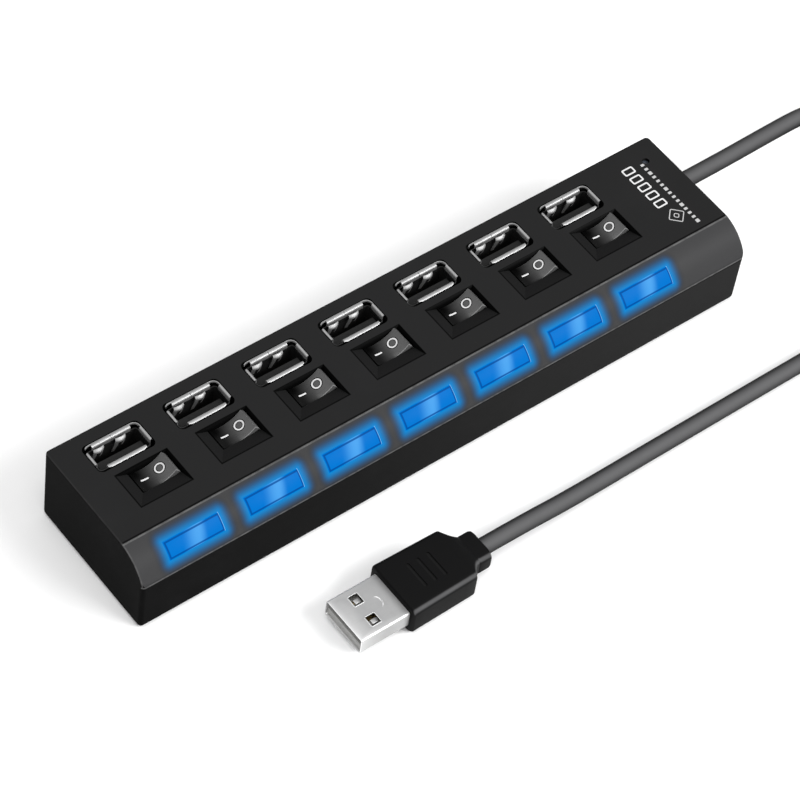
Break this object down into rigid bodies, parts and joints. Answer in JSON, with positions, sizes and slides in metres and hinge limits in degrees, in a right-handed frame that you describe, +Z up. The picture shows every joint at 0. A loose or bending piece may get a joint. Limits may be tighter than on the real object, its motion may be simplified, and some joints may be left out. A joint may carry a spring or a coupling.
{
  "type": "usb hub",
  "caption": "Long desk hub with upright sockets along the back, a small rocker switch and a lit window for each, and a thin lead that ends in a flat plug.",
  "frame": {"origin": "on the surface it stands on, below the middle of the housing's box", "axes": "+X along the housing towards the end where the lead leaves; -Y towards the sloped edge with the lit windows; +Z up"},
  "size_m": [0.254, 0.0672, 0.021],
  "materials": {
    "housing_black": "fine spark-eroded satin black",
    "cover_black": "fine textured black",
    "screw_steel": "black zinc",
    "board_green": "solder mask",
    "socket_nickel": "nickel-plated sheet",
    "tongue_black": "moulded black",
    "contact_gold": "gold flash",
    "rocker_gloss": "gloss black",
    "switch_body": "moulded black",
    "terminal_tin": "tinned",
    "window_blue": "translucent, lit from behind",
    "lamp_clear": "clear epoxy",
    "chip_black": "epoxy",
    "can_silver": "drawn can",
    "capacitor_sleeve": "shrink sleeve",
    "wire_colour": "insulated wire",
    "cord_black": "satin black jacket",
    "grip_black": "moulded satin black",
    "plug_nickel": "nickel-plated sheet",
    "insulator_white": "moulded"
  },
  "bodies": {
    "hub": {"top_housing": "housing_black", "bottom_cover": "cover_black", "cover_screws": "screw_steel", "circuit_board": "board_green", "port_contacts": "contact_gold", "controller_chips": "chip_black", "filter_capacitors": "capacitor_sleeve", "clock_crystal": "can_silver", "indicator_lamps": "lamp_clear", "power_lamp": "lamp_clear", "switch_terminals": "terminal_tin", "cable_grommet": "grip_black", "cord_hub_to_coil": "cord_black", "cord_coil": "cord_black", "cord_coil_to_plug": "cord_black", "coil_tie": "grip_black", "lead_wires": "wire_colour", "plug_grip": "grip_black", "plug_shell": "plug_nickel", "plug_insulator": "insulator_white", "plug_contacts": "contact_gold", "port_shell_1": "socket_nickel", "port_tongue_1": "tongue_black", "switch_frame_1": "switch_body", "light_window_1": "window_blue", "port_shell_2": "socket_nickel", "port_tongue_2": "tongue_black", "switch_frame_2": "switch_body", "light_window_2": "window_blue", "port_shell_3": "socket_nickel", "port_tongue_3": "tongue_black", "switch_frame_3": "switch_body", "light_window_3": "window_blue", "port_shell_4": "socket_nickel", "port_tongue_4": "tongue_black", "switch_frame_4": "switch_body", "light_window_4": "window_blue", "port_shell_5": "socket_nickel", "port_tongue_5": "tongue_black", "switch_frame_5": "switch_body", "light_window_5": "window_blue", "port_shell_6": "socket_nickel", "port_tongue_6": "tongue_black", "switch_frame_6": "switch_body", "light_window_6": "window_blue", "port_shell_7": "socket_nickel", "port_tongue_7": "tongue_black", "switch_frame_7": "switch_body", "light_window_7": "window_blue"},
    "rocker_1": {"rocker_1": "rocker_gloss"},
    "rocker_2": {"rocker_2": "rocker_gloss"},
    "rocker_3": {"rocker_3": "rocker_gloss"},
    "rocker_4": {"rocker_4": "rocker_gloss"},
    "rocker_5": {"rocker_5": "rocker_gloss"},
    "rocker_6": {"rocker_6": "rocker_gloss"},
    "rocker_7": {"rocker_7": "rocker_gloss"}
  },
  "joints": [
    {"name": "switch_1_tilt", "type": "hinge", "parent": "hub", "child": "rocker_1", "pos_m": [-0.06432, 0.00193, 0.01702], "axis": [0, 1, 0], "range_deg": [0, 22.4]},
    {"name": "switch_2_tilt", "type": "hinge", "parent": "hub", "child": "rocker_2", "pos_m": [-0.04432, 0.00193, 0.01702], "axis": [0, 1, 0], "range_deg": [0, 22.4]},
    {"name": "switch_3_tilt", "type": "hinge", "parent": "hub", "child": "rocker_3", "pos_m": [-0.02432, 0.00193, 0.01702], "axis": [0, 1, 0], "range_deg": [0, 22.4]},
    {"name": "switch_4_tilt", "type": "hinge", "parent": "hub", "child": "rocker_4", "pos_m": [-0.00432, 0.00193, 0.01702], "axis": [0, 1, 0], "range_deg": [0, 22.4]},
    {"name": "switch_5_tilt", "type": "hinge", "parent": "hub", "child": "rocker_5", "pos_m": [0.01568, 0.00193, 0.01702], "axis": [0, 1, 0], "range_deg": [0, 22.4]},
    {"name": "switch_6_tilt", "type": "hinge", "parent": "hub", "child": "rocker_6", "pos_m": [0.03568, 0.00193, 0.01702], "axis": [0, 1, 0], "range_deg": [0, 22.4]},
    {"name": "switch_7_tilt", "type": "hinge", "parent": "hub", "child": "rocker_7", "pos_m": [0.05568, 0.00193, 0.01702], "axis": [0, 1, 0], "range_deg": [0, 22.4]}
  ]
}
